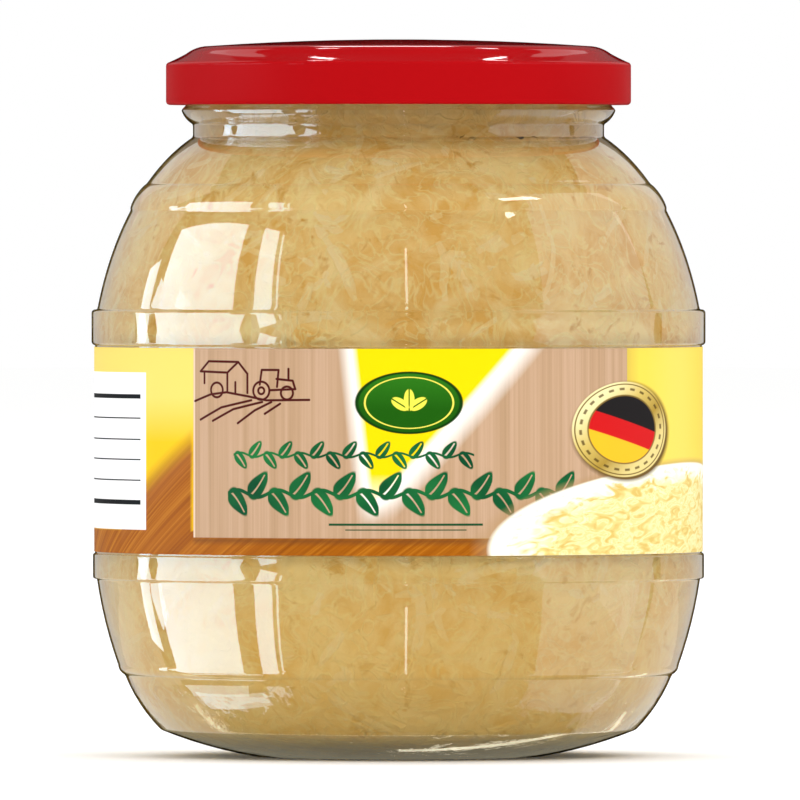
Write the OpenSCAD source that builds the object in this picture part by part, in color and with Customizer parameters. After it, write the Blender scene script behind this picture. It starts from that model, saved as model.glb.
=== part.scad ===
// Sauerkraut jar: a wide glass jar with raised hoops, a wrap-round paper label,
// a lacquered twist-off lid and its packed fill of shredded cabbage in brine.
// The origin is the centre of the foot, +Z is up and the label's front faces -Y.

/* [Jar body] */
// Outer diameter of the straight panel that carries the label
body_d = 109.2; // [90:0.1:135]
// Height of the glass from the foot to the rim
jar_h = 125.7; // [102:0.1:152]
// Thickness of the side wall
wall_t = 2.4; // [1.6:0.1:3.2]

/* [Foot] */
// Diameter of the ring that the jar stands on
foot_d = 50; // [46:0.5:76]
// Width of the flat land on that ring
foot_land = 1.6; // [0.8:0.1:3]
// Height of the push-up at the middle of the foot
push_up = 2.2; // [0.5:0.1:3]
// Thickness of the glass at the middle of the foot
floor_t = 3.4; // [2.4:0.1:6]
// Fall of the floor from its middle to its edge
floor_fall = 1.2; // [0:0.1:2]
// Height of the heel, where the foot turns up into the flank
heel_h = 4.8; // [3:0.1:6]
// How far the heel lies in from the label panel
heel_inset = 11.8; // [9:0.1:14]
// How far the heel's curve stands out from a straight line
heel_bow = 0.5; // [0:0.1:1.2]
// Diameter of the floor inside, before it turns up into the wall
floor_d = 68; // [56:0.5:76]

/* [Flank and lower wall] */
// Height of the top of the flank above the foot
flank_h = 14.7; // [11:0.1:17]
// How far the top of the flank lies in from the label panel
flank_inset = 5.35; // [4.6:0.05:7]
// How far the curves of the flank stand out from a straight line
flank_bow = 0.6; // [0:0.1:1]
// Height of the rounded step over the flank
step_h = 1.7; // [0.8:0.1:2.4]
// How far the top of that step lies in from the label panel
step_inset = 4.15; // [3:0.05:4.5]
// How far the lower wall lies in from the label panel where it meets the lower hoop
wall_inset = 0.3; // [0.1:0.05:1.5]
// How far the lower wall's curve stands out from a straight line
wall_bow = 0.4; // [0:0.1:1]

/* [Hoops] */
// Height of the bottom of the lower hoop above the foot
lower_hoop_z = 32; // [29:0.1:33]
// Height of the lower hoop
lower_hoop_h = 4.6; // [3:0.1:8]
// How far the lower hoop stands proud of the label panel
lower_hoop_proud = 0.4; // [0.3:0.05:1.2]
// Drop of the upper hoop's top below the rim of the glass
upper_hoop_drop = 45.3; // [40:0.1:48]
// Height of the upper hoop
upper_hoop_h = 6.4; // [3:0.1:9]
// How far the upper hoop stands proud of the label panel
upper_hoop_proud = 0.65; // [0.3:0.05:1.2]
// Drop of the shoulder band's top below the rim of the glass
band_drop = 22.7; // [20:0.1:26]
// Height of the shoulder band
band_h = 4.7; // [2:0.1:8]
// How far the shoulder band stands proud of the shoulder
band_proud = 0.55; // [0.2:0.05:1]

/* [Shoulder] */
// How far the shoulder's curve would swell past the label panel
shoulder_swell = 1; // [0:0.1:2]
// Height of the shoulder's curve from its widest level to its top
shoulder_rise = 49.4; // [42:0.1:58]
// Drop of the shoulder curve's top below the rim of the glass
shoulder_drop = 10.9; // [9:0.1:13]
// Diameter at which the shoulder's curve would run level
shoulder_top_d = 52.8; // [40:0.1:60]

/* [Neck and mouth] */
// Outer diameter of the neck
neck_d = 74; // [70:0.1:76]
// Thickness of the glass at the neck
neck_t = 2.6; // [1.8:0.1:3.4]
// Outer diameter of the bead under the lid
bead_d = 78.2; // [77:0.1:79]
// Drop of the bead's widest level below the rim
bead_drop = 9.4; // [9:0.1:10]
// Height of the bead's sloping underside
bead_slope = 2.6; // [1:0.1:2.8]
// Outer diameter of the finish inside the lid
finish_d = 76.4; // [74:0.1:77]
// Outer diameter of the thread ring that the lid's lugs hook under
thread_d = 80.2; // [78:0.1:81]
// Drop of the thread ring's underside below the rim
thread_drop = 6.4; // [5:0.1:7]
// Height of the thread ring
thread_h = 1.6; // [1:0.1:2.4]
// Rounding of the rim
rim_round = 1; // [0.4:0.1:1.2]

/* [Lid] */
// Outer diameter of the lid's skirt
lid_d = 83.7; // [82.6:0.1:87]
// Thickness of the lid's sheet
lid_t = 0.5; // [0.3:0.05:0.8]
// Height of the skirt with its curl
skirt_h = 7.7; // [7:0.1:8]
// Drop of the skirt's top corner below the rim of the glass
corner_drop = 0.8; // [0.6:0.1:1.6]
// Radius of the skirt's top corner
corner_r = 0.7; // [0.6:0.1:1]
// Diameter of the raised top panel
panel_d = 68.4; // [66:0.1:70]
// Height of the raised panel's edge above the rim of the glass
panel_rise = 2.1; // [1.8:0.1:3]
// Height of the panel's dome above its edge
panel_dome = 1.2; // [0:0.1:1.8]
// Radius of the panel's rounded edge
panel_round = 6.5; // [5.5:0.1:7]
// Thickness of the sealing ring's wall, measured across the rim
seal_w = 2.2; // [1.6:0.1:2.4]
// How far the cove between the panel and the skirt hollows in
cove_depth = 0.05; // [0:0.05:0.3]
// Diameter of the rolled curl at the skirt's lower edge
curl_d = 1.4; // [1:0.1:1.6]
// Number of lugs pressed in from the curl
lug_n = 6; // [4:1:8]
// Length of one lug as an angle round the lid
lug_angle = 12; // [6:1:20]
// Thickness of one lug
lug_t = 0.9; // [0.5:0.1:1.2]
// Clearance between a lug and the glass
lug_gap = 0.3; // [0.1:0.05:0.5]

/* [Label] */
// Thickness of the label's paper
label_t = 0.15; // [0.08:0.01:0.2]
// Thickness of the glue between the label and the glass
glue_t = 0.05; // [0:0.01:0.1]
// Clearance between the label's edges and the hoops
label_margin = 0.3; // [0.1:0.1:2]
// Length of the overlap at the label's seam, at the back
label_lap = 9; // [4:0.5:14]

/* [Fill] */
// Depth of the free space between the fill's edge and the rim
headspace = 6; // [4:0.5:9]
// Height of the fill's middle over its edge
fill_heap = 1.2; // [0:0.1:2]

/* [Hidden] */
$fn = 128;
curve_steps = 20;
arc_steps = 6;

// Radii and heights of the glass, worked out from the label panel and the rim.
body_r = body_d / 2;
foot_r = foot_d / 2;
neck_r = neck_d / 2;
finish_r = finish_d / 2;
mouth_r = neck_r - neck_t;
heel = [body_r - heel_inset, heel_h];
flank_top = [body_r - flank_inset, flank_h];
step_top = [body_r - step_inset, flank_h + step_h];
wall_top = [body_r - wall_inset, lower_hoop_z];
panel_z = lower_hoop_z + lower_hoop_h;
upper_hoop_top = jar_h - upper_hoop_drop;
upper_hoop_z = upper_hoop_top - upper_hoop_h;
band_top = jar_h - band_drop;
bead_z = jar_h - bead_drop;
thread_z = jar_h - thread_drop;

// The shoulder is a quarter of an ellipse about this centre.
shoulder_c = [shoulder_top_d / 2, jar_h - shoulder_drop - shoulder_rise];
shoulder_run = body_r + shoulder_swell - shoulder_c.x;

// Inner surface of the foot and the lower wall.
floor_z = push_up + floor_t;
floor_edge = [floor_d / 2, floor_z - floor_fall];
inner_r = body_r - wall_t;

// Heights and radii of the lid.
lid_r = lid_d / 2;
panel_c = [panel_d / 2, jar_h + panel_rise - panel_round];
panel_edge_angle = 52;
corner_z = jar_h - corner_drop;
curl_z = corner_z - skirt_h;

// Radius of the shoulder's curve at a height, less an inward offset.
function shoulder_r(z, inset = 0) =
    let (up = (z - shoulder_c.y) / (shoulder_rise - inset))
    shoulder_c.x + (shoulder_run - inset) * sqrt(1 - up * up);

// Height at which the shoulder's curve has drawn in to a radius.
function shoulder_end(r, inset = 0) =
    let (out = (r - shoulder_c.x) / (shoulder_run - inset))
    shoulder_c.y + (shoulder_rise - inset) * sqrt(1 - out * out);

// Points of the shoulder's curve between two heights.
function shoulder(z0, z1, inset = 0) = [
    for (i = [0:curve_steps])
        let (z = z0 + (z1 - z0) * i / curve_steps)
        [shoulder_r(z, inset), z]
];

// Points of the band that stands proud of the shoulder.
function shoulder_band(z0, z1) = [
    for (i = [0:curve_steps])
        let (z = z0 + (z1 - z0) * i / curve_steps, swell = sqrt(sin(180 * i / curve_steps)))
        [shoulder_r(z) + band_proud * swell, z]
];

// Points of a shallow curve from p to q that bows to the right of its way.
function bow(p, q, sag) =
    let (way = q - p, right = [way.y, -way.x] / norm(way))
    [for (i = [0:arc_steps]) let (t = i / arc_steps) p + way * t + right * 4 * sag * t * (1 - t)];

// Points of a quarter of an ellipse, which leaves p level and reaches q upright.
function bowl(p, q) = [
    for (i = [0:curve_steps])
        let (a = 90 * i / curve_steps)
        [p.x + (q.x - p.x) * sin(a), q.y - (q.y - p.y) * cos(a)]
];

// Points of an arc about a centre from one angle to another.
function arc(centre, r, a0, a1) = [
    for (i = [0:arc_steps])
        let (a = a0 + (a1 - a0) * i / arc_steps)
        centre + r * [cos(a), sin(a)]
];

// Points of a ring's outer side from bottom to top, with rounded corners.
function ring(r, z0, z1, round) = concat(
    arc([r - round, z0 + round], round, -90, 0),
    arc([r - round, z1 - round], round, 0, 90)
);

function reversed(points) = [for (i = [len(points) - 1:-1:0]) points[i]];

// Outer outline of the glass from the middle of the foot to the neck.
function body_outline() = concat(
    bow([0, push_up], [foot_r - foot_land / 2, 0], -push_up / 4),
    bow([foot_r + foot_land / 2, 0], heel, heel_bow),
    bow(heel, flank_top, flank_bow),
    bow(flank_top, step_top, (flank_inset - step_inset) / 4),
    bow(step_top, wall_top, wall_bow),
    ring(body_r + lower_hoop_proud, lower_hoop_z, panel_z, lower_hoop_proud),
    [[body_r, panel_z], [body_r, upper_hoop_z]],
    ring(body_r + upper_hoop_proud, upper_hoop_z, upper_hoop_top, upper_hoop_proud),
    shoulder(upper_hoop_top, band_top - band_h),
    shoulder_band(band_top - band_h, band_top),
    shoulder(band_top, shoulder_end(neck_r))
);

// Outer outline of the neck and the mouth, over the rim to its inner edge.
function mouth_outline() = concat(
    [[neck_r, bead_z - bead_slope]],
    bow([neck_r, bead_z - bead_slope], [bead_d / 2, bead_z], bead_slope / 8),
    [[finish_r, bead_z + (bead_d / 2 - finish_r)], [finish_r, thread_z]],
    ring(thread_d / 2, thread_z, thread_z + thread_h, thread_h / 3),
    [[finish_r, thread_z + thread_h]],
    arc([finish_r - rim_round, jar_h - rim_round], rim_round, 0, 90),
    arc([mouth_r + rim_round, jar_h - rim_round], rim_round, 90, 180)
);

// Inner surface of the glass from the middle of the floor to the mouth.
function inner_outline() = concat(
    bow([0, floor_z], floor_edge, -floor_fall / 4),
    bowl(floor_edge, [inner_r, panel_z]),
    [[inner_r, upper_hoop_z]],
    shoulder(upper_hoop_top, shoulder_end(mouth_r, wall_t), wall_t)
);

// Outline of the lid's sheet from its middle to the skirt's corner, less an inward offset.
function lid_outline(inset) =
    let (
        edge = panel_c + (panel_round - inset) * [cos(panel_edge_angle), sin(panel_edge_angle)],
        corner_c = [lid_r - corner_r, corner_z - corner_r],
        corner = corner_c + (corner_r - inset) * [cos(60), sin(60)]
    )
    concat(
        bow([0, panel_c.y + panel_round + panel_dome - inset],
            panel_c + [0, panel_round - inset], -panel_dome / 4),
        arc(panel_c, panel_round - inset, 90, panel_edge_angle),
        bow(edge, corner, cove_depth),
        arc(corner_c, corner_r - inset, 60, 0)
    );

// The blown glass jar.
module jar() {
    color([0.86, 0.92, 0.86, 0.35])
        rotate_extrude()
            polygon(concat(body_outline(), mouth_outline(), reversed(inner_outline())));
}

// The packed shreds and their brine, which fill the glass up to the headspace.
module kraut() {
    fill_z = jar_h - headspace;
    color([0.83, 0.69, 0.45])
        rotate_extrude()
            polygon(concat(
                inner_outline(),
                bow([mouth_r, fill_z], [0, fill_z + fill_heap], fill_heap / 4)
            ));
}

// The pressed lid: its sheet, the rolled curl, the sealing ring and the lugs.
module lid() {
    seal_r = mouth_r + rim_round * 0.8;
    seal_top = panel_round - lid_t / 2;
    color([0.75, 0.1, 0.12]) {
        rotate_extrude()
            polygon(concat(
                lid_outline(0),
                [[lid_r, curl_z + curl_d / 2], [lid_r - lid_t, curl_z + curl_d / 2]],
                reversed(lid_outline(lid_t))
            ));
        rotate_extrude()
            translate([lid_r - curl_d / 2, curl_z + curl_d / 2])
                circle(d = curl_d);
        rotate_extrude()
            polygon(concat(
                [[seal_r, jar_h], [seal_r + seal_w, jar_h]],
                arc(panel_c, seal_top,
                    acos((seal_r + seal_w - panel_c.x) / seal_top),
                    acos((seal_r - panel_c.x) / seal_top))
            ));
        for (i = [0:lug_n - 1])
            rotate([0, 0, (i + 0.5) * 360 / lug_n - lug_angle / 2])
                rotate_extrude(angle = lug_angle)
                    lug_section();
    }
}

// Section of one lug, from the skirt in to the glass, just under the thread ring.
module lug_section() {
    lug_r = finish_r + lug_gap;
    translate([lug_r, thread_z - lug_gap - lug_t])
        square([lid_r - lid_t / 2 - lug_r, lug_t]);
}

// The paper label, which runs right round the jar and laps over itself at the back.
module label() {
    back_r = body_r + glue_t;
    height = upper_hoop_z - panel_z - 2 * label_margin;
    lap_angle = label_lap / (2 * PI * back_r) * 360;
    color([0.93, 0.78, 0.3]) {
        rotate_extrude()
            translate([back_r, panel_z + label_margin])
                square([label_t, height]);
        rotate([0, 0, 90])
            rotate_extrude(angle = lap_angle)
                translate([back_r + label_t / 2, panel_z + label_margin])
                    square([label_t, height]);
    }
}

jar();
kraut();
lid();
label();
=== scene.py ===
import math
import random
from bisect import bisect_left

import bmesh
import bpy
from mathutils import Matrix, Vector, noise


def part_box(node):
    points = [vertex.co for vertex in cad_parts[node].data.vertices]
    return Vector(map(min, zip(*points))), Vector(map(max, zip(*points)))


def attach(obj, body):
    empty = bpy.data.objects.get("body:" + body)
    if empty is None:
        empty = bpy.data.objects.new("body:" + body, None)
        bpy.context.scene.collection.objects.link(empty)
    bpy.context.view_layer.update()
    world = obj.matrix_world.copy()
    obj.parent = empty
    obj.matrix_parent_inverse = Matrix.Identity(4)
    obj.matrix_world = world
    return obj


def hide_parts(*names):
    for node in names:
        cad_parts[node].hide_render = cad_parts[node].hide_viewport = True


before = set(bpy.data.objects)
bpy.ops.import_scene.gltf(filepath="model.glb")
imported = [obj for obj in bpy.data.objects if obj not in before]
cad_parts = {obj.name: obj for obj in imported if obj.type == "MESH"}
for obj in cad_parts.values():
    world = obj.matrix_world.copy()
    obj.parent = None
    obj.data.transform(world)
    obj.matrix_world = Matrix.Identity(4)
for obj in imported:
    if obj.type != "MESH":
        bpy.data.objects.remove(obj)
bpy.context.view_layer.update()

MM = 0.001


# ---------------------------------------------------------------- Paper floor, lamps and camera
# The jar stands on a wide flat sheet of white paper. Soft boxes light it and leave no image in
# the glass, while panes like those of a window are only seen mirrored in it.

class Value:
    """A shader socket that arithmetic can be done on: each operation adds its own node."""

    def __init__(self, tree, socket):
        self.tree = tree
        self.socket = socket

    def maths(self, operation, *others):
        vector = self.socket.type in {"VECTOR", "RGBA"}
        node = self.tree.nodes.new("ShaderNodeVectorMath" if vector else "ShaderNodeMath")
        node.operation = operation
        for slot, value in zip(node.inputs, others):
            plug(self.tree, slot, value)
        return Value(self.tree, node.outputs[0])

    def __add__(self, other):
        return self.maths("ADD", self, other)

    def __radd__(self, other):
        return self.maths("ADD", other, self)

    def __sub__(self, other):
        return self.maths("SUBTRACT", self, other)

    def __rsub__(self, other):
        return self.maths("SUBTRACT", other, self)

    def __mul__(self, other):
        return self.maths("MULTIPLY", self, other)

    def __rmul__(self, other):
        return self.maths("MULTIPLY", other, self)

    def __truediv__(self, other):
        return self.maths("DIVIDE", self, other)

    def __pow__(self, other):
        return self.maths("POWER", self, other)

    def __abs__(self):
        return self.maths("ABSOLUTE", self)

    def sine(self):
        return self.maths("SINE", self)

    def least(self, other):
        return self.maths("MINIMUM", self, other)

    def most(self, other):
        return self.maths("MAXIMUM", self, other)

    def floor(self):
        return self.maths("FLOOR", self)


def plug(tree, socket, value):
    """Links a Value to a socket, or sets the socket to a plain number or colour."""
    if isinstance(value, Value):
        tree.links.new(value.socket, socket)
    elif socket.type == "RGBA" and len(value) == 3:
        socket.default_value = (*value, 1)
    else:
        socket.default_value = value


class Finish:
    """A node material with one Principled shader."""

    def __init__(self, name, **constants):
        self.material = bpy.data.materials.new(name)
        self.material.use_nodes = True
        self.tree = self.material.node_tree
        self.shader = self.tree.nodes["Principled BSDF"]
        self.set(**constants)

    def set(self, **values):
        for name, value in values.items():
            plug(self.tree, self.shader.inputs[name.replace("_", " ")], value)

    def node(self, kind, settings=None, inputs=None, out=0):
        node = self.tree.nodes.new("ShaderNode" + kind)
        for name, value in (settings or {}).items():
            if name == "stops":
                self.ramp(node, value)
            else:
                setattr(node, name, value)
        for name, value in (inputs or {}).items():
            plug(self.tree, node.inputs[name], value)
        return Value(self.tree, node.outputs[out])

    def ramp(self, node, stops):
        elements = node.color_ramp.elements
        while len(elements) < len(stops):
            elements.new(1)
        for element, (place, colour) in zip(elements, stops):
            element.position = place
            element.color = (*colour, 1)

    def mix(self, below, above, mask):
        settings = {"data_type": "RGBA", "blend_type": "MIX"}
        return self.node("Mix", settings, {0: mask, 6: below, 7: above}, out=2)

    def step(self, value, edge, soft):
        """0 below the edge and 1 above it, over a soft width."""
        inputs = {0: value, 1: edge - soft / 2, 2: edge + soft / 2}
        return self.node("MapRange", {"clamp": True}, inputs)

    def position(self):
        return self.node("TexCoord", out=3)

    def height(self):
        return self.node("SeparateXYZ", {}, {0: self.position()}, out=2)

    def colours(self, value, *stops):
        return self.node("ValToRGB", {"stops": stops}, {0: value})

    def noise(self, scale, detail=3, roughness=0.5, distortion=0.0, vector=None):
        inputs = {"Scale": scale, "Detail": detail, "Roughness": roughness, "Distortion": distortion}
        inputs["Vector"] = vector or self.position()
        return self.node("TexNoise", {}, inputs)

    def bump(self, height, distance, strength=1.0):
        inputs = {"Height": height, "Distance": distance, "Strength": strength}
        self.set(Normal=self.node("Bump", {}, inputs))


def new_mesh(name, verts, faces, finish, smooth=True):
    mesh = bpy.data.meshes.new(name)
    mesh.from_pydata(verts, [], faces)
    mesh.materials.append(finish.material)
    mesh.validate()
    shape = bmesh.new()
    shape.from_mesh(mesh)
    bmesh.ops.recalc_face_normals(shape, faces=shape.faces)
    shape.to_mesh(mesh)
    shape.free()
    if smooth:
        mesh.shade_smooth()
    piece = bpy.data.objects.new(name, mesh)
    bpy.context.scene.collection.objects.link(piece)
    return piece


def paper_floor():
    """A wide flat sheet, which the glass doesn't mirror, so that its edges stay crisp."""
    paper = Finish("floor_paper", Roughness=0.9, Specular_IOR_Level=0.0)
    grain = paper.noise(900, 4)
    paper.set(Base_Color=paper.mix((0.985, 0.985, 0.98), (0.998, 0.998, 0.995), grain))
    paper.bump(grain, 0.05 * MM)
    reach = 9.0
    verts = [(x * reach, y * reach, 0.0) for x, y in ((-1, -1), (1, -1), (1, 1), (-1, 1))]
    floor = new_mesh("paper_floor", verts, [(0, 1, 2, 3)], paper, smooth=False)
    floor.visible_glossy = False


def lamp_at(name, place, across, up, size, radiance):
    """A flat lamp that lies along two given directions and shines back to where both are seen from."""
    lamp = bpy.data.lights.new(name, "AREA")
    lamp.shape = "RECTANGLE"
    lamp.size, lamp.size_y = size
    lamp.energy = radiance * math.pi * size[0] * size[1]
    box = bpy.data.objects.new(name, lamp)
    turn = Matrix((across, up, across.cross(up))).transposed()
    box.matrix_world = Matrix.Translation(place) @ turn.to_4x4()
    box.visible_camera = False
    bpy.context.scene.collection.objects.link(box)
    return box


def soft_box(name, place, size, radiance):
    """A lamp aimed at the jar that lights it softly and leaves no image of itself in the glass."""
    jar_middle = Vector((0, 0, 0.07))
    back = (Vector(place) - jar_middle).normalized()
    across = Vector((0, 0, 1)).cross(back).normalized()
    lamp_at(name, place, across, back.cross(across), size, radiance).visible_glossy = False


def only_mirrored(lamp, tint):
    """Leaves a lamp nothing but its image in the glass and the lacquer."""
    lamp.data.color = tint
    lamp.visible_diffuse = False
    lamp.visible_transmission = False


def pane(name, side, bearing, offset, height, size, radiance, lean=0.0, ends=(1, -1), tint=(1, 1, 1)):
    """One pane of a window light, and its image in the table, at a bearing from the front in degrees."""
    reach = 1.33
    middle = Vector((0, 0, 0.05))
    turn = math.radians(bearing)
    tilt = math.radians(lean)
    ahead = Vector((side * math.sin(turn), -math.cos(turn), 0.0))
    along = Vector((side * math.cos(turn), math.sin(turn), 0.0))
    for flip in ends:
        level = Vector((0, 0, flip))
        up = along * math.sin(tilt) + level * math.cos(tilt)
        across = along * math.cos(tilt) - level * math.sin(tilt)
        place = ahead * reach + across * offset + up * height + middle
        if across.cross(up).dot(ahead) < 0:
            across = -across
        lamp = lamp_at(name + ("_above" if flip > 0 else "_below"), place, across, up, size, radiance)
        only_mirrored(lamp, tint)


def window_lights():
    """A leaning window on either side, and dim panes behind that soften the jar's dark edges."""
    left, right = -1, 1
    above, below, both = (1,), (-1,), (1, -1)
    bearing, lean, sky = 80.0, 18.0, (0.66, 0.85, 1.0)
    behind = 140.0
    for name, offset, height, size, radiance, ends in (
            ("left_main", 0.03, 0.35, (0.93, 1.36), 4.9, both),
            ("left_near", -0.78, 0.42, (0.22, 1.22), 4.9, both),
            ("left_near_gap", -0.96, 0.42, (0.03, 1.16), 4.0, both),
            ("left_far", 0.76, 0.30, (0.20, 1.10), 4.0, both),
            ("left_low", -0.05, 1.42, (1.05, 0.42), 3.4, below)):
        pane(name, left, bearing, offset, height, size, radiance, lean, ends, sky)
    pane("left_back", left, behind, 0.0, 0.3, (1.2, 2.0), 0.5)
    pane("right_main", right, bearing, 0.03, 0.70, (1.4, 2.1), 0.85, lean, both, sky)
    pane("right_high", right, 65.0, 0.10, 1.55, (0.55, 0.30), 7.0, ends=above)
    pane("right_back", right, behind, 0.0, 0.3, (1.2, 2.0), 0.55)
    pane("front_strip", right, 3.2, 0.0, 0.85, (0.022, 0.55), 4.0)


def lid_lights():
    """Small panes behind the jar, which give the lid's shoulder its glints and its panel a sheen."""
    for name, side, bearing, height, size, radiance in (
            ("lid_left", -1, 169.1, 1.52, (0.09, 0.05), 25.0),
            ("lid_right", 1, 167.4, 1.385, (0.09, 0.05), 25.0),
            ("lid_edge", -1, 179.0, 0.95, (0.21, 0.12), 9.0),
            ("lid_sky", 1, 180.0, 0.62, (1.4, 0.6), 0.12)):
        pane(name, side, bearing, 0.0, height, size, radiance, ends=(1,))


def table_lights():
    """The warm table that the foot mirrors: a broad glow from below, with two brighter lines."""
    warm = (1.0, 0.93, 0.68)
    for name, place, size, radiance in (
            ("table_glow", (0, 0, -0.3), (3.4, 3.4), 0.22),
            ("table_line_near", (-0.15, 0.20, -0.29), (0.5, 0.03), 1.8),
            ("table_line_far", (0.20, 0.48, -0.29), (0.4, 0.05), 1.8)):
        lamp = lamp_at(name, place, Vector((1, 0, 0)), Vector((0, -1, 0)), size, radiance)
        only_mirrored(lamp, warm)


def room_light(strength):
    """An even white surround, which the glass doesn't mirror either."""
    world = bpy.data.worlds.new("room")
    world.use_nodes = True
    background = world.node_tree.nodes["Background"]
    background.inputs["Color"].default_value = (1, 1, 1, 1)
    background.inputs["Strength"].default_value = strength
    world.cycles_visibility.glossy = False
    bpy.context.scene.world = world


def camera():
    """A long lens at the height of the jar's neck, level enough to keep the sides upright."""
    view = bpy.data.cameras.new("camera")
    view.sensor_width = 36
    distance = 4.0
    seen_width = 0.144
    view.lens = view.sensor_width * distance / seen_width
    eye_height = 0.101
    aim_height = 0.0641
    aside = 0.00027
    eye = bpy.data.objects.new("camera", view)
    eye.location = (aside, -distance, eye_height)
    aim = Vector((aside, 0, aim_height))
    eye.rotation_euler = (aim - eye.location).to_track_quat("-Z", "Y").to_euler()
    bpy.context.scene.collection.objects.link(eye)
    bpy.context.scene.camera = eye


paper_floor()
room_light(1.0)
soft_box("front_light", place=(0.75, -2.0, 1.5), size=(1.6, 1.6), radiance=1.9)
soft_box("backdrop_light", place=(0.0, 0.6, 2.8), size=(3.0, 1.0), radiance=3.2)
window_lights()
lid_lights()
table_lights()
camera()
bpy.context.scene.view_settings.view_transform = "Standard"


# ---------------------------------------------------------------- Glass jar
# Clear soda-lime glass, pressed and blown in one mould: every hoop, bead and step has a
# rounded corner. The glass is faintly green where the foot is thick; that tint is also darkened
# as painted shade and broken by lighter streaks that are painted reflections.

def meridian(node):
    """The outline of a turned solid, as (radius, height) points along its seam in the XZ plane.

    It starts at the end of the seam that lies lowest.
    """
    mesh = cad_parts[node].data
    grid = 1e6
    near = 2
    keys = [tuple(round(c * grid) for c in v.co) for v in mesh.vertices]
    on_seam = {k for k in keys if abs(k[1]) <= near and k[0] >= -1}
    links = {k: set() for k in on_seam}
    for edge in mesh.edges:
        a, b = (keys[i] for i in edge.vertices)
        if a != b and a in on_seam and b in on_seam:
            links[a].add(b)
            links[b].add(a)
    here = min((k for k in on_seam if len(links[k]) == 1), key=lambda k: k[2])
    walk = [here]
    before = None
    while True:
        onward = [k for k in links[here] if k != before]
        if not onward:
            break
        before, here = here, onward[0]
        walk.append(here)
    return [Vector((k[0] / grid, k[2] / grid)) for k in walk]


def eased(points, cut, angle=9.0):
    """Rounds each corner that turns by more than an angle, and drops points that lie on top."""
    on_top = 0.02 * MM
    kept = [points[0]]
    for p in points[1:]:
        if (p - kept[-1]).length > on_top:
            kept.append(p)
    result = [kept[0]]
    for a, b, c in zip(kept, kept[1:], kept[2:]):
        turn = math.degrees((b - a).angle(c - b))
        if turn < angle:
            result.append(b)
            continue
        start = b + (a - b).normalized() * min(cut, (a - b).length * 0.45)
        end = b + (c - b).normalized() * min(cut, (c - b).length * 0.45)
        for t in (0, 0.25, 0.5, 0.75, 1):
            result.append(start.lerp(b, t).lerp(b.lerp(end, t), t))
    result.append(kept[-1])
    return result


def turned(name, outline, finish, segments=192):
    """A solid of revolution about Z through the outline, closed on the axis where it starts there."""
    verts = []
    rings = []
    for r, z in outline:
        if r < 0.001 * MM:
            rings.append([len(verts)] * segments)
            verts.append((0, 0, z))
            continue
        start = len(verts)
        for k in range(segments):
            a = 2 * math.pi * k / segments
            verts.append((r * math.cos(a), r * math.sin(a), z))
        rings.append(list(range(start, start + segments)))
    faces = []
    for lower, upper in zip(rings, rings[1:]):
        for k in range(segments):
            n = (k + 1) % segments
            face = []
            for i in (lower[k], lower[n], upper[n], upper[k]):
                if i not in face:
                    face.append(i)
            if len(face) > 2:
                faces.append(face)
    return new_mesh(name, verts, faces, finish)


def glass_finish():
    """Clear glass with a thin film of handling marks, greener low down where it is thick, its tint there
    darkened as painted shade and broken by lighter streaks that are painted reflections of the table.
    """
    foot_top, foot_fade = 4.6 * MM, 1.6 * MM
    heel_top, heel_fade = 12.5 * MM, 2.0 * MM
    glass = Finish("jar_glass", IOR=1.5, Transmission_Weight=1.0, Coat_Weight=1.0, Coat_IOR=1.55)
    height = glass.height()
    thick = 1 - glass.step(height, foot_top, foot_fade)
    flow = glass.node("Mapping", {}, {"Vector": glass.position(), "Scale": (1, 1, 14)})
    # Painted reflection: lighter streaks in the foot's tint stand for the table mirrored in the glass.
    painted_reflection_streak = glass.step(glass.noise(26, 4, 0.6, 0.8, vector=flow), 0.56, 0.12)
    # Partly painted shade: the foot's tint is greener thick glass, made darker for the shade in the foot.
    foot = glass.mix((0.76, 0.80, 0.60), (0.98, 0.99, 0.95), painted_reflection_streak)
    glass.set(Base_Color=glass.mix((0.985, 0.99, 0.985), foot, thick))
    marks = glass.noise(160, 5, 0.7)
    glass.set(Roughness=glass.step(marks, 0.7, 0.3) * 0.05)
    heel = 1 - glass.step(height, heel_top, heel_fade)
    wave = glass.noise(70, 2)
    ripple = glass.noise(130, 3, 0.5, 0.6)
    glass.bump(wave * 0.2 + ripple * (heel * 3), 0.3 * MM, 0.6)
    return glass


jar = turned("jar_glass", eased(meridian("jar"), 0.45 * MM), glass_finish())
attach(jar, "root")
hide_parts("jar")


# ---------------------------------------------------------------- Brine and cabbage
# White cabbage shredded by machine and soured in brine: a tight golden mass that fills the
# glass, with flat curled shreds pressed against the wall.

class Wall:
    """The inner face of the glass as a path from the floor's middle up to the fill's edge."""

    def __init__(self, outline):
        clear_of_axis = 30 * MM
        top = max(range(len(outline)), key=lambda i: (outline[i].x > clear_of_axis, outline[i].y))
        self.points = outline[:top + 1]
        self.reach = [0.0]
        for a, b in zip(self.points, self.points[1:]):
            self.reach.append(self.reach[-1] + (b - a).length)
        self.length = self.reach[-1]

    def at(self, s, depth):
        """Radius and height at a run along the wall and a depth behind it."""
        s = min(max(s, 0.0), self.length)
        i = bisect_left(self.reach, s, 1, len(self.reach) - 1)
        a, b = self.points[i - 1], self.points[i]
        span = self.reach[i] - self.reach[i - 1]
        t = (s - self.reach[i - 1]) / span if span else 0.0
        run = (b - a).normalized()
        inward = Vector((-run.y, run.x))
        return a.lerp(b, t) + inward * depth


wall = Wall(eased(meridian("kraut"), 0.3 * MM))


def scaled(colour, *shares):
    """A colour with each channel taken times its share, and none past full."""
    return tuple(min(1, c * share) for c, share in zip(colour, shares))


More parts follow.
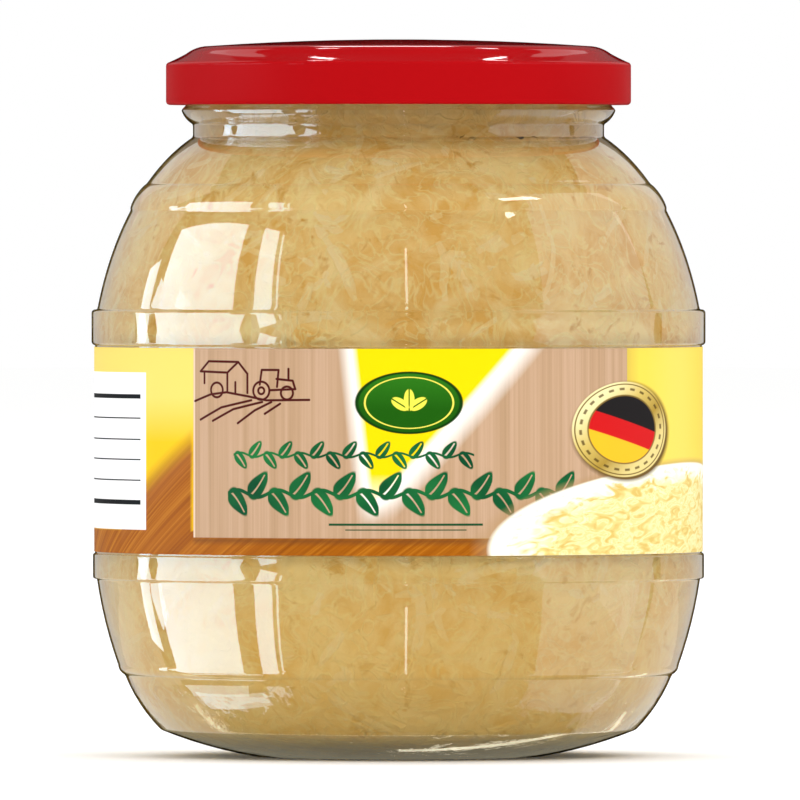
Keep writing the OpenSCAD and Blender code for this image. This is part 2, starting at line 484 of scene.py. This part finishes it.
def kraut_finish(name, dark, pale):
    """Wet cabbage: soft patches, curly pale threads, painted shade in a few gaps between shreds, more
    amber towards the bottom, and painted shade that darkens the top under the lid.
    """
    amber_middle, amber_fade = 32 * MM, 50 * MM
    lid_shade_middle, lid_shade_fade = 111 * MM, 9 * MM
    kraut = Finish(name, IOR=1.4, Specular_IOR_Level=0.08)
    drift = kraut.noise(90, 5, 0.65, 0.8)
    tissue = kraut.noise(1100, 3, 0.5)
    colour = kraut.mix(dark, pale, kraut.step(drift, 0.5, 0.22))
    curls = kraut.noise(150, 2, 0.5, 2.2)
    thread = 1 - kraut.step(abs(curls - 0.5), 0.03, 0.05)
    # Painted shade: the darker patches stand for shade in the gaps between the shreds.
    painted_gap_shade = kraut.step(kraut.noise(210, 3, 0.6, 1.2), 0.66, 0.12)
    colour = kraut.mix(colour, scaled(pale, 1.12, 1.12, 1.12), thread * 0.5)
    colour = kraut.mix(colour, scaled(dark, 0.84, 0.72, 0.52), painted_gap_shade * 0.8)
    height = kraut.height()
    # More amber and brighter towards the bottom.
    lower_amber = 1 - kraut.step(height, amber_middle, amber_fade)
    colour = kraut.mix(colour, (0.99, 0.66, 0.15), lower_amber * 0.5)
    # Painted shade: the top of the mass is darkened brown for the shade under the lid.
    painted_lid_shade = kraut.step(height, lid_shade_middle, lid_shade_fade)
    colour = kraut.mix(colour, (0.70, 0.42, 0.13), painted_lid_shade * 0.65)
    kraut.set(Base_Color=colour, Roughness=0.45 + tissue * 0.25)
    kraut.bump(tissue + thread * 0.8, 0.15 * MM, 0.6)
    return kraut


def core_piece():
    """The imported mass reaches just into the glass, so that no air shows between them."""
    around = 300
    steps = 200
    into_wall = 0.12 * MM
    lump_size = 0.12 * MM
    lumps_per_metre = 140
    verts = []
    for j in range(steps + 1):
        s = wall.length * j / steps
        flat = wall.at(s, 0.0)
        for k in range(around):
            a = 2 * math.pi * k / around
            spot = Vector((flat.x * math.cos(a), flat.x * math.sin(a), flat.y))
            lump = abs(noise.fractal(spot * lumps_per_metre, 1.0, 2.0, 3)) * lump_size
            p = wall.at(s, -into_wall - lump)
            verts.append((p.x * math.cos(a), p.x * math.sin(a), p.y))
    faces = []
    for j in range(steps):
        for k in range(around):
            n = (k + 1) % around
            a, b = j * around, (j + 1) * around
            faces.append((a + k, a + n, b + n, b + k))
    faces.append(tuple(range(around))[::-1])
    faces.append(tuple(steps * around + k for k in range(around)))
    finish = kraut_finish("kraut_core", dark=(0.88, 0.51, 0.13), pale=(0.99, 0.755, 0.34))
    piece = new_mesh("kraut_core", verts, faces, finish)
    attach(piece, "root")
    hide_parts("kraut")


class Shred:
    """One shred's size, where it starts on the wall and how it curls, in metres and radians."""

    def __init__(self, rng, length, width, depth):
        self.run = rng.uniform(*length) * MM
        self.half_w = rng.uniform(*width) * MM / 2
        self.half_t = self.half_w * rng.uniform(0.08, 0.12)
        self.start = rng.uniform(0.06, 0.985) * wall.length
        self.angle = rng.uniform(0, 2 * math.pi)
        mostly_level = rng.random() < 0.75
        self.heading = rng.gauss(0.0, 0.75) if mostly_level else rng.uniform(-1.6, 1.6)
        self.curl = rng.gauss(0, 55.0)
        self.sway = rng.uniform(0.0, 3.0) * 40
        self.phase = rng.uniform(0, 6.3)
        self.sink = rng.uniform(*depth) * MM
        self.dip = rng.uniform(0.05, 0.25) * MM
        self.steps = max(6, int(self.run / (2.4 * MM)))

    def sections(self):
        """For each step along the shred: its middle, the way out to the glass, its side and its taper."""
        s, angle, heading = self.start, self.angle, self.heading
        step = self.run / self.steps
        for i in range(self.steps + 1):
            t = i / self.steps
            here = wall.at(s, self.sink + self.dip * (2 * t - 1) ** 2)
            out = (wall.at(s, -MM) - wall.at(s, 0.0)).normalized()
            cos, sin = math.cos(angle), math.sin(angle)
            spot = Vector((here.x * cos, here.x * sin, here.y))
            normal = Vector((out.x * cos, out.x * sin, out.y))
            upward = Vector((-out.y * cos, -out.y * sin, out.x))
            round_wall = upward.cross(normal)
            side = (-round_wall * math.sin(heading) + upward * math.cos(heading)).normalized()
            yield spot, normal, side, min(1.0, 0.45 + 4.0 * min(t, 1 - t))
            heading += (self.curl + self.sway * math.sin(self.phase + 9 * t)) * step
            angle += math.cos(heading) * step / max(here.x, 8 * MM)
            s += math.sin(heading) * step
            s = min(max(s, 0.05 * wall.length), 0.99 * wall.length)


def shreds(name, count, seed, length, width, depth, finish):
    """Flat curled shreds that wander along the wall, each a six-sided strip with tapered ends.

    Their normals lean out to the glass, so that they shade softly into the mass behind them.
    """
    rng = random.Random(seed)
    sides = 6
    lean_out = 4
    verts = []
    facing = []
    faces = []
    for _ in range(count):
        shred = Shred(rng, length, width, depth)
        base = len(verts)
        for spot, normal, side, taper in shred.sections():
            for k in range(sides):
                a = 2 * math.pi * k / sides
                half_w, half_t = shred.half_w * taper, shred.half_t * taper
                edge = side * (half_w * math.cos(a)) + normal * (half_t * math.sin(a))
                verts.append(spot + edge)
                facing.append((normal * lean_out + edge.normalized()).normalized())
        for i in range(shred.steps):
            a, b = base + i * sides, base + (i + 1) * sides
            for k in range(sides):
                n = (k + 1) % sides
                faces.append((a + k, a + n, b + n, b + k))
        faces.append(tuple(base + k for k in range(sides))[::-1])
        faces.append(tuple(base + shred.steps * sides + k for k in range(sides)))
    piece = new_mesh(name, verts, faces, finish)
    piece.data.normals_split_custom_set_from_vertices(facing)
    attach(piece, "root")


core_piece()
shreds("kraut_shreds_golden", 1500, seed=11, length=(6, 22), width=(1.6, 3.6), depth=(-0.17, -0.08),
       finish=kraut_finish("kraut_golden", dark=(0.92, 0.58, 0.18), pale=(0.99, 0.74, 0.32)))
shreds("kraut_shreds_pale", 600, seed=12, length=(5, 20), width=(0.9, 2.0), depth=(-0.22, -0.13),
       finish=kraut_finish("kraut_pale", dark=(0.96, 0.67, 0.26), pale=(0.99, 0.78, 0.40)))


# ---------------------------------------------------------------- Twist-off lid
# Pressed steel sheet lacquered a deep glossy red: a low domed panel, a sloping shoulder, an
# upright skirt that is rolled into a curl, and six lugs that hook under the glass thread.

def lid_finish(corner):
    """Deep red lacquer, glossy above the corner and duller on the skirt below it."""
    red = Finish("red_lacquer", IOR=1.3, Specular_IOR_Level=0.02, Coat_IOR=1.5, Coat_Roughness=0.05)
    drift = red.noise(40, 3)
    speck = red.noise(2600, 2, 0.6)
    colour = red.mix((0.37, 0.003, 0.005), (0.43, 0.004, 0.006), drift)
    red.set(Base_Color=colour, Roughness=0.3 + speck * 0.12)
    red.set(Coat_Weight=red.step(red.height(), corner - 0.3 * MM, 0.8 * MM))
    red.bump(red.noise(420, 3), 0.02 * MM, 0.5)
    return red


shoulder_height = 4.0 * MM
red_lacquer = lid_finish(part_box("lid")[1].z - shoulder_height)
lid = turned("lid", eased(meridian("lid"), 0.2 * MM, 14.0), red_lacquer, 256)
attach(lid, "root")
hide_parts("lid")


def lid_lugs():
    """Six short tabs, folded in from the curl, that grip the glass thread."""
    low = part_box("lid")[0].z
    root, tip = 41.6, 38.5
    section = [
        (root, 0.9), (38.9, 0.9), (38.55, 1.1), (tip, 1.4), (38.6, 1.65), (38.95, 1.8), (root, 1.8)]
    first, apart, half_angle = 30, 60, 6
    steps = 14
    verts = []
    faces = []
    for lug in range(6):
        base = len(verts)
        for i in range(steps + 1):
            t = 2 * i / steps - 1
            a = math.radians(first + apart * lug + half_angle * t)
            pull = 0.5 * abs(t) ** 6
            for r, z in section:
                r = min(root, r + pull * (root - r) / (root - tip))
                verts.append((r * MM * math.cos(a), r * MM * math.sin(a), low + z * MM))
        n = len(section)
        for i in range(steps):
            for k in range(n):
                a, b = base + i * n, base + (i + 1) * n
                faces.append((a + k, a + (k + 1) % n, b + (k + 1) % n, b + k))
        faces.append(tuple(base + k for k in range(n)))
        faces.append(tuple(base + steps * n + k for k in range(n))[::-1])
    lugs = new_mesh("lid_lugs", verts, faces, red_lacquer, smooth=False)
    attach(lugs, "root")


lid_lugs()


# ---------------------------------------------------------------- Paper label
# One strip of satin coated paper wrapped right round the panel between the wide hoops and
# lapped over itself at the back.

label_low, label_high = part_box("label")
PAPER = 0.15 * MM
paper_r = label_high.x


def ink(red, green, blue):
    """A printed colour, given as it shows, 0 to 255, and returned as the shader wants it."""
    def linear(c):
        c /= 255
        return c / 12.92 if c <= 0.04045 else ((c + 0.055) / 1.055) ** 2.4
    return tuple(linear(c) for c in (red, green, blue))


class Print(Finish):
    """Printed paper: u runs round the jar from the front's middle, v up from the lower edge, in mm."""

    def __init__(self, name, radius, low, **constants):
        super().__init__(name, **constants)
        x, y, z = (self.node("SeparateXYZ", {}, {0: self.position()}, out=i) for i in range(3))
        self.u = x.maths("ARCTAN2", x, 0 - y) * (radius / MM)
        self.v = (z - low) / MM
        self.colour = None

    def paint(self, colour, mask):
        self.colour = self.mix(self.colour, colour, mask)

    def below(self, value, edge, soft=0.12):
        return 1 - self.step(value, edge, soft)

    def window(self, value, low, high, soft=0.12):
        return self.step(value, low, soft) * self.below(value, high, soft)

    def box(self, u0, u1, v0, v1, soft=0.12):
        return self.window(self.u, u0, u1, soft) * self.window(self.v, v0, v1, soft)

    def oval(self, u, v, half_u, half_v):
        """Distance from a centre, as a share of the oval's own size."""
        du = (self.u - u) / half_u
        dv = (self.v - v) / half_v
        return (du * du + dv * dv) ** 0.5

    def ring(self, u, v, r, width):
        return self.below(abs(self.oval(u, v, r, r) * r - r), width / 2)

    def line(self, start, end, width):
        """A straight pen stroke with round ends."""
        way = (end[0] - start[0], end[1] - start[1])
        run = way[0] ** 2 + way[1] ** 2
        du = self.u - start[0]
        dv = self.v - start[1]
        t = self.node("Clamp", {}, {0: (du * way[0] + dv * way[1]) / run})
        du = du - t * way[0]
        dv = dv - t * way[1]
        return self.below((du * du + dv * dv) ** 0.5, width / 2)

    def strokes(self, points, width):
        mask = None
        for start, end in zip(points, points[1:]):
            line = self.line(start, end, width)
            mask = line if mask is None else mask.most(line)
        return mask

    def sprig(self, centre, u0, u1, pitch, length, width, stem):
        """A running stem with leaves that lean out to either side by turns."""
        place = (self.u - u0) / pitch
        row = place.floor()
        side = (row / 2 - (row / 2).floor()) * 4 - 1
        across = (place - row - 0.5) * pitch
        wave = (place * math.pi).sine() * (stem * 0.9)
        up = (self.v - centre - wave) * side - length * 0.62
        lean = math.radians(52)
        along = across * math.cos(lean) + up * math.sin(lean)
        over = up * math.cos(lean) - across * math.sin(lean)
        leaf = self.below((along * along) / length ** 2 + (over * over) / width ** 2, 1, 0.25)
        vein = 1 - self.below(abs(over), 0.14) * self.below(abs(along), length * 0.8)
        twig = self.below(abs(self.v - centre - wave), stem / 2)
        return (leaf * vein).most(twig) * self.window(self.u, u0, u1)

    def spot(self, x, y):
        return self.node("CombineXYZ", {}, {0: x, 1: y})


def print_ground(paper):
    """Yellow, stronger low down on the left, with a bar of wood along the lower edge."""
    u, v = paper.u, paper.v
    pale, strong = ink(246, 217, 108), ink(242, 196, 0)
    left = paper.below(u, 0, 4)
    paper.colour = paper.mix(ink(242, 212, 80), pale, left)
    paper.paint(pale, paper.window(u, 56, 70, 9) * 0.5)
    paper.paint(strong, left * paper.below(v, 24, 8))
    grain_spot = paper.spot(u * 0.10 - v * 0.16, u * 1.1 - v * 1.5)
    grain = paper.noise(0.8, 4, 0.6, vector=grain_spot)
    wood = paper.colours(
        grain, (0.3, ink(134, 68, 4)), (0.5, ink(165, 92, 10)), (0.72, ink(198, 128, 34)))
    bank = 12.8 + (u + 52.3) * 0.63
    hill = paper.window(u, -62, -40.4, 1) * paper.below(v - bank, 0, 5)
    paper.paint(wood, hill.most(paper.below(v, 4.3, 0.5) * left))
    paper.paint(ink(168, 98, 36), paper.below(abs(v - bank + 2), 2.2, 4) * hill * 0.6)
    return wood


def print_card(paper, wood):
    """A panel of card: upright ribs of uneven width, a light left edge and soft shadows round it."""
    u, v = paper.u, paper.v
    left, right, foot, shadow_end = -40.0, 46.0, 3.1, 17
    paper.paint(wood, paper.box(left - 20, shadow_end, -1, foot, 0.1))
    paper.paint(ink(120, 70, 28), paper.box(left, shadow_end, foot - 1.0, foot, 1.0) * 0.75)
    paper.paint(ink(150, 130, 66), paper.window(u, right - 3, right + 1, 5) * 0.55)
    rib_spot = paper.spot(u, v * 0.01)
    rib = paper.noise(0.55, 2, 0.7, vector=rib_spot)
    fine = paper.noise(2.4, 1, vector=rib_spot)
    card = paper.colours(
        rib * 0.75 + fine * 0.25, (0.3, ink(174, 141, 107)), (0.48, ink(188, 154, 122)),
        (0.6, ink(197, 163, 134)), (0.75, ink(180, 147, 111)))
    panel = paper.window(u, left, right, 0.15) * paper.step(v, foot, 0.15)
    paper.paint(card, panel)
    paper.paint(ink(232, 204, 178), paper.window(u, left, left + 0.4, 0.2) * panel)


def print_beam(paper):
    """A beam of yellow with a white glow, wide above and running to a point below."""
    top = 36.9
    left = (paper.u + 8.4 - (top - paper.v) * 0.112) * 0.994
    right = (21.5 - (top - paper.v) * 0.914 - paper.u) * 0.738
    inside = left.least(right)
    glow = paper.step(left, -1.3, 2.6) * paper.step(right, -2.4, 3.8)
    paper.paint(ink(255, 253, 246), glow * paper.step(paper.v, 7.5, 5))
    paper.paint(ink(250, 214, 0), paper.step(inside, 0.5, 1.2) * paper.step(paper.v, 11, 7))


def print_badge(paper):
    """A plain oval badge with a thin inner line and three leaves."""
    middle_u, middle_v = 1.9, 27.2
    badge = paper.oval(middle_u, middle_v, 9.4, 5.4)
    shade = paper.mix(ink(28, 92, 8), ink(44, 118, 22), paper.step(paper.v, 29, 6))
    paper.paint(ink(18, 62, 10), paper.below(badge, 1.03, 0.03))
    paper.paint(shade, paper.below(badge, 0.96, 0.03))
    paper.paint(ink(240, 226, 90), paper.below(abs(badge - 0.84), 0.018, 0.012))
    for lean, reach in ((0, 2.9), (58, 2.6), (-58, 2.6)):
        turn = math.radians(lean)
        du = paper.u - middle_u - 1.9 * math.sin(turn)
        dv = paper.v - (middle_v - 1) - 1.5 * math.cos(turn)
        along = dv * math.cos(turn) + du * math.sin(turn)
        over = du * math.cos(turn) - dv * math.sin(turn)
        leaf = paper.below((along * along) / (reach * 0.7) ** 2 + over * over, 0.9, 0.2)
        paper.paint(ink(244, 232, 80), leaf * paper.step(abs(over), 0.12, 0.1))


def print_farm(paper):
    """A pen drawing of a barn, a tractor and furrows in the card's upper left corner."""
    pen = 0.42
    barn = [(-28.1, 28.9), (-28.1, 32.3), (-30.0, 34.4), (-32.3, 32.5), (-32.3, 29.2)]
    roof = [(-32.3, 32.5), (-38.3, 32.7), (-36.4, 34.5), (-30.0, 34.4)]
    cab = [(-25.6, 30.4), (-25.2, 33.0), (-21.9, 33.0), (-22.2, 30.0)]
    bonnet = [(-22.3, 31.4), (-19.2, 31.1), (-18.7, 29.6), (-23.6, 29.4)]
    ground = [(-39.6, 27.4), (-36.0, 28.6), (-32.5, 29.0), (-28.0, 28.3), (-24.3, 27.6), (-16.1, 27.7)]
    furrows = [
        [(-38.3, 24.1), (-33.6, 26.3), (-27.3, 27.6)], [(-35.5, 23.9), (-31.0, 26.0), (-25.1, 27.3)],
        [(-30.1, 23.5), (-26.6, 25.8), (-23.3, 27.3)], [(-24.6, 25.2), (-21.6, 27.0)]]
    posts = [
        [(-37.4, 32.6), (-37.4, 30.6)], [(-20.0, 33.2), (-20.0, 31.2)], [(-30.6, 28.8), (-30.6, 30.8)]]
    drawing = paper.ring(-25.3, 29.3, 1.6, pen)
    for u, v, r in ((-25.3, 29.3, 0.6), (-20.3, 28.9, 1.15), (-34.6, 29.4, 1.3)):
        drawing = drawing.most(paper.ring(u, v, r, pen))
    for points in [barn, roof, cab, bonnet, ground, *furrows, *posts]:
        drawing = drawing.most(paper.strokes(points, pen))
    paper.paint(ink(74, 16, 14), drawing)


def print_leaf_lines(paper):
    """Two runs of leaves and a double rule stand where a label carries its words."""
    cloud = paper.noise(0.09, 2, vector=paper.spot(paper.u, paper.v))
    green = paper.mix(ink(10, 74, 42), ink(30, 116, 58), paper.step(cloud, 0.5, 0.3))
    paper.paint(green, paper.sprig(17.9, -31.0, 13.6, pitch=2.97, length=1.85, width=0.95, stem=0.42))
    paper.paint(green, paper.sprig(11.0, -32.2, 33.4, pitch=4.1, length=2.9, width=1.55, stem=0.7))
    rule = paper.box(-12.5, 15.2, 5.35, 5.75, 0.1).most(paper.box(-9.5, 12.2, 4.5, 4.7, 0.1))
    paper.paint(ink(24, 76, 44), rule)


def print_dish(paper):
    """A white dish of shreds comes in from the lower right."""
    u, v = paper.u, paper.v
    dish = paper.oval(68, 1.0, 52.5, 15.4)
    paper.paint(ink(176, 140, 96), paper.below(dish, 1.02, 0.07) * 0.6)
    paper.paint(ink(252, 250, 232), paper.below(dish, 0.985, 0.02))
    strand_spot = paper.spot(u * 0.9 + v * 0.35, v * 2.1 - u * 0.3)
    strand = paper.noise(0.24, 2, 0.45, 1.6, vector=strand_spot)
    heap = paper.colours(
        strand, (0.34, ink(222, 190, 104)), (0.46, ink(236, 214, 136)), (0.55, ink(243, 231, 172)),
        (0.62, ink(236, 216, 140)), (0.70, ink(245, 236, 186)))
    rough_edge = dish + (strand - 0.5) * 0.35
    paper.paint(heap, paper.below(rough_edge, 0.84, 0.12))


def print_seal(paper):
    """A round seal with a gold rim, three tilted bands and no words."""
    middle_u, middle_v, half_u, half_v = 45.4, 22.3, 12.6, 8.5
    seal = paper.oval(middle_u, middle_v, half_u, half_v)
    shadow = paper.oval(middle_u + 0.5, middle_v - 0.4, half_u, half_v)
    paper.paint(ink(110, 84, 40), paper.below(shadow, 1.04, 0.1))
    across = (paper.u - middle_u) / half_u
    up = (paper.v - middle_v) / half_v
    gold = paper.colours(
        (across - up) * 0.35 + 0.5, (0.1, ink(240, 228, 170)), (0.35, ink(212, 186, 100)),
        (0.6, ink(172, 140, 54)), (0.85, ink(228, 208, 136)))
    paper.paint(gold, paper.below(seal, 1.0, 0.02))
    paper.paint(ink(120, 96, 44), paper.below(abs(seal - 0.95), 0.012, 0.012))
    turn = up.maths("ARCTAN2", up, across)
    bead_count = 24
    beads = paper.step((turn * bead_count).sine(), 0.1, 0.5) * paper.below(abs(seal - 0.85), 0.025, 0.02)
    paper.paint(ink(84, 62, 24), beads * 0.85)
    tilt = up * 0.94 + across * 0.34
    bands = paper.mix(ink(246, 188, 38), ink(206, 22, 24), paper.step(tilt, -0.22, 0.02))
    bands = paper.mix(bands, ink(34, 30, 30), paper.step(tilt, 0.18, 0.02))
    paper.paint(ink(130, 104, 50), paper.below(seal, 0.73, 0.02))
    paper.paint(bands, paper.below(seal, 0.70, 0.02))


def print_table(paper):
    """A white table panel with plain rules on the left."""
    left, right = -98.0, -53.0
    paper.paint(ink(255, 255, 255), paper.box(left, right, 4.3, 32.4))
    rules = (
        (27.7, 28.5), (24.1, 24.35), (20.3, 20.55), (16.7, 16.95), (13.0, 13.25), (8.75, 9.6))
    for low, high in rules:
        paper.paint(ink(8, 8, 8), paper.box(left + 2, right - 1.8, low, high, 0.08))


def label_print():
    """Flat fields of colour: a ribbed card panel on yellow and wood, with plain ornament on it."""
    paper = Print("label_print", paper_r, label_low.z, Specular_IOR_Level=0.05)
    wood = print_ground(paper)
    print_card(paper, wood)
    print_beam(paper)
    print_badge(paper)
    print_farm(paper)
    print_leaf_lines(paper)
    print_dish(paper)
    print_seal(paper)
    print_table(paper)
    fibre = paper.noise(5200, 2)
    paper.set(Base_Color=paper.colour, Roughness=0.42 + fibre * 0.12)
    paper.bump(fibre + paper.noise(60, 2) * 6, 0.01 * MM, 0.4)
    return paper


def label_piece():
    """The strip follows the glass and steps up over its own end at the back."""
    around = 288
    rows = 12
    low, high = label_low.z, label_high.z
    lap = 9 * MM / paper_r
    step_run = 0.6 * MM / paper_r
    lap_rise = 0.55 * PAPER
    into_glue = 0.1 * PAPER
    verts = []
    faces = []
    for k in range(around + 1):
        sweep = k / around * (2 * math.pi + lap)
        a = math.pi / 2 + sweep
        lift = lap_rise * min(1.0, max(0.0, (sweep - 2 * math.pi) / step_run + 1))
        for skin in (0, 1):
            r = paper_r - PAPER * (1 - skin) - into_glue + lift
            for j in range(rows + 1):
                verts.append((r * math.cos(a), r * math.sin(a), low + (high - low) * j / rows))
    ring = 2 * (rows + 1)
    for k in range(around):
        a, b = k * ring, (k + 1) * ring
        for skin in (0, 1):
            o = skin * (rows + 1)
            for j in range(rows):
                faces.append((a + o + j, b + o + j, b + o + j + 1, a + o + j + 1))
        for j in (0, rows):
            faces.append((a + j, b + j, b + rows + 1 + j, a + rows + 1 + j))
    for k in (0, around):
        for j in range(rows):
            a = k * ring + j
            faces.append((a, a + 1, a + rows + 2, a + rows + 1))
    piece = new_mesh("label", verts, faces, label_print())
    piece.data.set_sharp_from_angle(angle=math.radians(40))
    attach(piece, "root")
    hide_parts("label")


label_piece()
